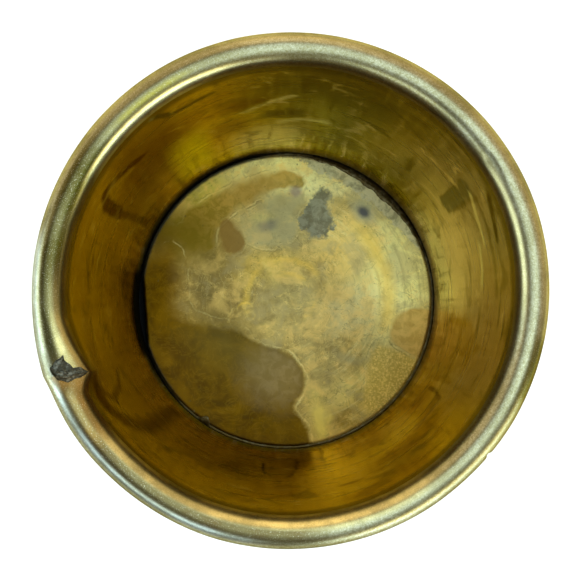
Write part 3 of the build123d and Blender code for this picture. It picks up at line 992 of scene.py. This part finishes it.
def floor_brass():
    g = Graph("old_floor_brass")
    clouds = g.noise(0.1, 5, 0.6, 0.7)
    mottle = g.noise(0.4, 6, 0.68, 0.5)
    veins = g.noise(0.2, 6, 0.6, 1.6)
    fine = g.noise(2.2, 4, 0.65)
    spun = g.noise(1, 4, 0.65, at=g.vector(g.radius * 1.1, g.turn * 0.03, clouds * 2))
    wander = (g.noise(0.3, 6, 0.62) - 0.5) * 3.4
    frayed = (g.noise(0.7, 5, 0.68) - 0.5) * 3.4 + wander * 0.4
    softness = 0.5 + g.smooth(g.noise(0.12, 2, 0.5), 0.42, 0.6) * 1.6
    fading_north = 0.5 + g.smooth(g.y, -11, -2) * 2.5

    face = g.stored_colour("floor_tones")
    face = g.layer(face, mottle, 0.5, 0.66, 0.42, g.mix(0.6, face, BLACK))
    face = g.layer(face, mottle, 0.48, 0.34, 0.45, (0.9, 0.64, 0.18))
    turned = 0.1 + 0.28 * g.smooth(g.radius + wander, 15, 25) * g.sector(5, 50, 30)
    face = g.layer(face, spun, 0.5, 0.64, turned, (0.4, 0.31, 0.1))
    face = g.layer(face, spun, 0.46, 0.36, turned, (1, 0.84, 0.34))
    cracked = g.smooth(clouds, 0.42, 0.58)
    face = g.mix(g.band(veins, 0.5, 0.016) * (0.15 + 0.35 * cracked), face, (0.16, 0.11, 0.03))
    face = g.mix(g.band(veins, 0.535, 0.016) * cracked * 0.35, face, (1, 0.78, 0.28))

    golden = (0.98, 0.64, 0.1)
    blotches = g.noise(0.16, 5, 0.58, 0.3)
    face = g.layer(face, blotches, 0.5, 0.66, 0.5, (0.96, 0.64, 0.18))
    face = g.layer(face, blotches, 0.5, 0.36, 0.45, (0.46, 0.36, 0.16))
    dashed = g.smooth(clouds, 0.4, 0.58)
    arc = g.band(g.radius + wander * 0.7, 25.4, 3.4) * g.sector(16, 20, 22)
    ring = g.band(g.radius + wander * 0.8, 10, 1.4) * g.sector(120, 60, 40)
    small_ring = g.band(g.radius + wander * 0.8, 6.6, 1) * g.sector(30, 50, 50)
    face = g.mix(arc * 0.6, face, golden)
    face = g.mix((ring + small_ring) * dashed * 0.45, face, golden)

    pale_line = (1, 0.84, 0.34)
    dark_line = (0.14, 0.11, 0.03)
    broken = g.smooth(g.noise(0.22, 4, 0.6), 0.42, 0.62)

    def stain_and_shadow(face, name, tone, strength, edge, ragged, line, outer, soft=softness):
        """Lays a stain's tone over the face, with a tide line along its edge. The floor's dark
        side, laid this way too, is partly painted shadow.
        """
        depth = g.stored(name) + ragged
        face = g.mix(g.band(depth, -0.1, 0.32) * broken * line * 0.6, face, pale_line)
        face = g.mix(g.band(depth, -0.5, 0.24) * broken * outer * 0.7, face, dark_line)
        return g.mix(g.smooth(depth / soft, -0.3 * edge, edge) * strength, face, tone)

    def spotted(face, spots, field):
        """Lays soft spots over the face, their edges made ragged by a share of this field."""
        for middle, size, tilt, edge, ragged, strength, tone in spots:
            face = g.mix(g.spot(middle, size, tilt, edge, field * ragged) * strength, face, tone)
        return face

    gentle = wander * 0.55
    olive_tone = g.mix(g.smooth(mottle, 0.4, 0.6), (0.26, 0.17, 0.012), (0.5, 0.31, 0.05))
    deep_tone = g.mix(g.smooth(clouds, 0.36, 0.62), (0.075, 0.036, 0.001), (0.15, 0.078, 0.001))
    deep_tone = g.layer(deep_tone, mottle, 0.5, 0.66, 0.3, (0.07, 0.045, 0.008))
    deep_tone = g.mix(g.band(veins, 0.52, 0.03) * 0.25, deep_tone, (0.26, 0.155, 0.008))
    core_tone = g.mix(g.smooth(mottle, 0.4, 0.62), (0.23, 0.155, 0.05), (0.31, 0.215, 0.085))
    grey_tone = g.mix(g.smooth(mottle, 0.38, 0.6), (0.15, 0.14, 0.085), (0.3, 0.285, 0.18))
    brown_tone = g.mix(g.smooth(mottle, 0.36, 0.62), (0.5, 0.31, 0.07), (0.72, 0.47, 0.13))
    speckled_tone = g.mix(g.smooth(fine, 0.44, 0.64), (0.6, 0.41, 0.08), (0.98, 0.72, 0.2))

    face = stain_and_shadow(face, "grey_green", (0.46, 0.41, 0.2), 0.45, 2, gentle, 0.5, 0.4)
    face = stain_and_shadow(face, "olive_band", olive_tone, 0.85, 1.2, gentle, 0.7, 0.6)
    face = spotted(face, LOW_SPOTS, wander)
    # The dark side's deep tone is partly painted shadow cast by the wall, partly dark patina.
    face = stain_and_shadow(face, "dark_side_stain_and_shadow", deep_tone, 0.96, 2.6, wander * 0.8, 0.7, 0.4, fading_north)
    core = g.spot((-2, -18), (8.5, 8), 0, 0.6, wander * 0.12) * 0.75
    core = core * g.smooth(g.stored("dark_side_stain_and_shadow") + wander * 0.8, 0, 1.5)
    face = spotted(g.mix(core, face, core_tone), HIGH_SPOTS, wander)
    face = stain_and_shadow(face, "round_spot", (0.29, 0.165, 0.035), 0.85, 1.4, wander * 0.8, 0.2, 0.3)
    face = stain_and_shadow(face, "bright_tongue", (1, 0.76, 0.17), 0.8, 3, wander, 0, 0)
    face = stain_and_shadow(face, "speckled", speckled_tone, 0.8, 1, frayed, 0.3, 0.6)
    face = stain_and_shadow(face, "brown_corner", brown_tone, 0.9, 0.6, gentle * 0.5, 0.3, 0.6)
    face = stain_and_shadow(face, "grey_blob", grey_tone, 0.92, 0.7, frayed * 1.5, 0.3, 0.2)
    face = spotted(face, SMALL_SPOTS, frayed)
    drop = g.spot((-10, -3.2), (2.7, 2.7), 0, 0.1, wander * 0.06)
    drop_inside = g.spot((-10, -3.2), (2.2, 2.2), 0, 0.1, wander * 0.06)
    face = g.mix((drop - drop_inside) * dashed * 0.5, face, golden)

    pits = g.smooth(g.noise(0.9, 3, 0.6), 0.31, 0.27)
    face = g.mix(pits * 0.6, face, (0.1, 0.08, 0.03))
    film_reach = g.sector(54, 14, 30) * 4.6
    film = g.smooth(g.radius + film_reach + frayed * 1.5, 36.2, 37.4)
    film_tone = g.mix(g.smooth(mottle, 0.4, 0.6), (0.24, 0.23, 0.15), (0.62, 0.56, 0.34))
    face = g.mix(film * 0.8, face, film_tone)
    # Darker along the floor's edge, most of all on the left: dirt, and painted shade where the
    # floor meets the wall.
    edge_dirt_and_shade = g.smooth(g.radius + frayed * 0.2, 35.2, 36.1)
    face = g.mix(edge_dirt_and_shade * (0.15 + 0.75 * g.sector(160, 50, 20)), face, (0.1, 0.1, 0.07))

    deep = g.smooth(g.stored("dark_side_stain_and_shadow") + wander, -1, 3)
    polished = g.smooth(g.x + 0.8 * g.y + wander, 12, 30)
    roughness = 0.33 + 0.12 * mottle + 0.08 * fine + 0.02 * deep - 0.07 * polished
    bumps = [
        (spun, 0.12, 0.06 * MM),
        (mottle, 0.2, 0.08 * MM),
        (fine, 0.22, 0.04 * MM),
    ]
    g.feed(g.shader.inputs["Specular Tint"], face)
    return g.finish(face, 0.45 + 0.5 * deep + 0.24 * polished, roughness, bumps)


def grey_solder(name, dark, light, mottle_scale):
    g = Graph(name)
    mottle = g.noise(mottle_scale, 4, 0.6)
    fine = g.noise(mottle_scale * 4, 3, 0.6)
    body = g.mix(g.smooth(mottle, 0.46, 0.68), dark, light)
    edge = FLOOR_RADIUS / MM
    # Dirt and painted shade in the groove between the floor's edge and the wall, blackest on the
    # left.
    gap_dirt_and_shade = g.smooth(g.radius, edge, edge + 0.3) * g.smooth(g.z, 50, 40)
    gap_dirt_and_shade_tone = g.mix(g.sector(110, 110, 30), (0.13, 0.08, 0.015), BLACK)
    body = g.mix(gap_dirt_and_shade * (0.65 + 0.33 * g.sector(160, 45, 30)), body, gap_dirt_and_shade_tone)
    roughness = 0.35 + 0.25 * mottle
    bumps = [(mottle, 0.35, 0.1 * MM), (fine, 0.3, 0.04 * MM)]
    g.feed(g.shader.inputs["Specular Tint"], body)
    return g.finish(body, 0.85, roughness, bumps)


def dark_iron():
    g = Graph("dark_iron_wire")
    mottle = g.noise(1.2, 4, 0.6)
    body = g.mix(mottle, (0.05, 0.045, 0.04), (0.16, 0.1, 0.07))
    return g.finish(body, 0.8, 0.45 + 0.2 * mottle, [(mottle, 0.4, 0.05 * MM)])


# ---- the object

wall = make_wall()
cut_split(wall)
wall.data.materials.append(wall_brass())
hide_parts("cup_wall")
store(wall, "wall_tones_and_reflections", wall_tones_and_reflections(vertices_of(wall)))

rim_solder = make_rim_solder()
patch_metal = grey_solder("rim_solder_metal", (0.07, 0.063, 0.042), (0.21, 0.2, 0.15), 1.3)
rim_solder.data.materials.append(patch_metal)
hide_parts("rim_solder")

floor_plate = make_floor()
floor_plate.data.materials.append(floor_brass())
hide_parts("floor_disc")
plate_points = vertices_of(floor_plate)
store(floor_plate, "floor_tones", floor_tones(plate_points))
for name, outline in STAINS_AND_SHADOW.items():
    store(floor_plate, name, depth_inside(plate_points, outline))

floor_bead = make_floor_solder()
bead_metal = grey_solder("floor_solder_metal", (0.11, 0.08, 0.03), (0.26, 0.22, 0.12), 0.8)
floor_bead.data.materials.append(bead_metal)
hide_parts("floor_solder")

for piece in (wall, rim_solder, floor_plate, floor_bead):
    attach(piece, "root")

wire = frame["nodes"]["rim_wire"]
wire.data.materials.clear()
wire.data.materials.append(dark_iron())

# ---- floor, lights, camera


STAGE_HALF = 12.0
STAGE_WHITE = 0.86
STAGE_GLOW = 0.3


def make_stage():
    """A pale floor, a little bright of itself to stay white, with a painted black shadow where the
    cup covers it.
    """
    half = STAGE_HALF
    corners = [(-half, -half, 0), (half, -half, 0), (half, half, 0), (-half, half, 0)]
    stage = mesh_object("stage_floor", corners, [(0, 1, 2, 3)])
    g = Graph("pale_floor")
    # Painted shadow: black and unlit inside the cup's wall.
    outside_painted_shadow = g.smooth(g.radius, WALL_INNER / MM, WALL_OUTER / MM)
    g.feed(g.shader.inputs["Base Color"], outside_painted_shadow * STAGE_WHITE)
    g.feed(g.shader.inputs["Emission Strength"], outside_painted_shadow * STAGE_GLOW)
    g.feed(g.shader.inputs["Emission Color"], (1, 1, 1))
    g.feed(g.shader.inputs["Roughness"], 0.9)
    stage.data.materials.append(g.material)


COOL = (0.66, 0.86, 1)
WARM = (1, 0.84, 0.56)
YELLOWISH = (1, 0.92, 0.5)
PANEL_DISTANCE = 0.62

# Soft lights round the mouth: (name, azimuth, elevation, half width and half height in degrees,
# brightness, tint)
PANELS = [
    ("overhead", 45, 84, 22, 22, 2.25, COOL),
    ("high_right", 325, 68, 34, 16, 1.2, COOL),
    ("side_right", 48, 30, 50, 27, 0.78, WARM),
    ("side_top", 120, 28, 40, 26, 0.95, WARM),
    ("window_left", 187, 18, 17, 16, 5, COOL),
    ("window_low_left", 238, 27, 17, 10, 3.4, COOL),
    ("window_low_right", 307, 5, 27, 8, 6.5, COOL),
    ("window_mid_right", 311, 20, 22, 7, 3.6, YELLOWISH),
]


def add_panel(name, azimuth, elevation, half_width, half_height, brightness, tint):
    """A soft light that faces the mouth of the cup."""
    data = bpy.data.lights.new(name, "AREA")
    data.shape = "RECTANGLE"
    data.size = 2 * PANEL_DISTANCE * tan(radians(half_width))
    data.size_y = 2 * PANEL_DISTANCE * tan(radians(half_height))
    data.energy = brightness * pi * data.size * data.size_y
    data.color = tint
    turn, rise = radians(azimuth), radians(elevation)
    towards = Vector((cos(turn) * cos(rise), sin(turn) * cos(rise), sin(rise)))
    light = bpy.data.objects.new(name, data)
    light.location = Vector((0, 0, RIM_TOP)) + towards * PANEL_DISTANCE
    light.rotation_euler = towards.to_track_quat("Z", "Y").to_euler()
    light.visible_camera = False
    scene.collection.objects.link(light)


make_stage()
for panel in PANELS:
    add_panel(*panel)

world = bpy.data.worlds.new("studio")
scene.world = world
world.use_nodes = True
background = world.node_tree.nodes["Background"]
background.inputs["Color"].default_value = (1.0, 0.9, 0.72, 1.0)
background.inputs["Strength"].default_value = 0.12

camera = bpy.data.objects.new("camera", bpy.data.cameras.new("camera"))
scene.collection.objects.link(camera)
camera.location = (-2.4 * MM, -5.0 * MM, BEAD_Z + 178 * MM)
back = (camera.location - Vector((-0.2 * MM, -0.1 * MM, BEAD_Z))).normalized()
right = Vector((0, 1, 0)).cross(back).normalized()
up = back.cross(right)
camera.rotation_euler = Matrix((right, up, back)).transposed().to_euler()
camera.data.lens = 68.1
camera.data.sensor_width = 36
camera.data.clip_start = 0.01
scene.camera = camera
scene.view_settings.view_transform = "Standard"
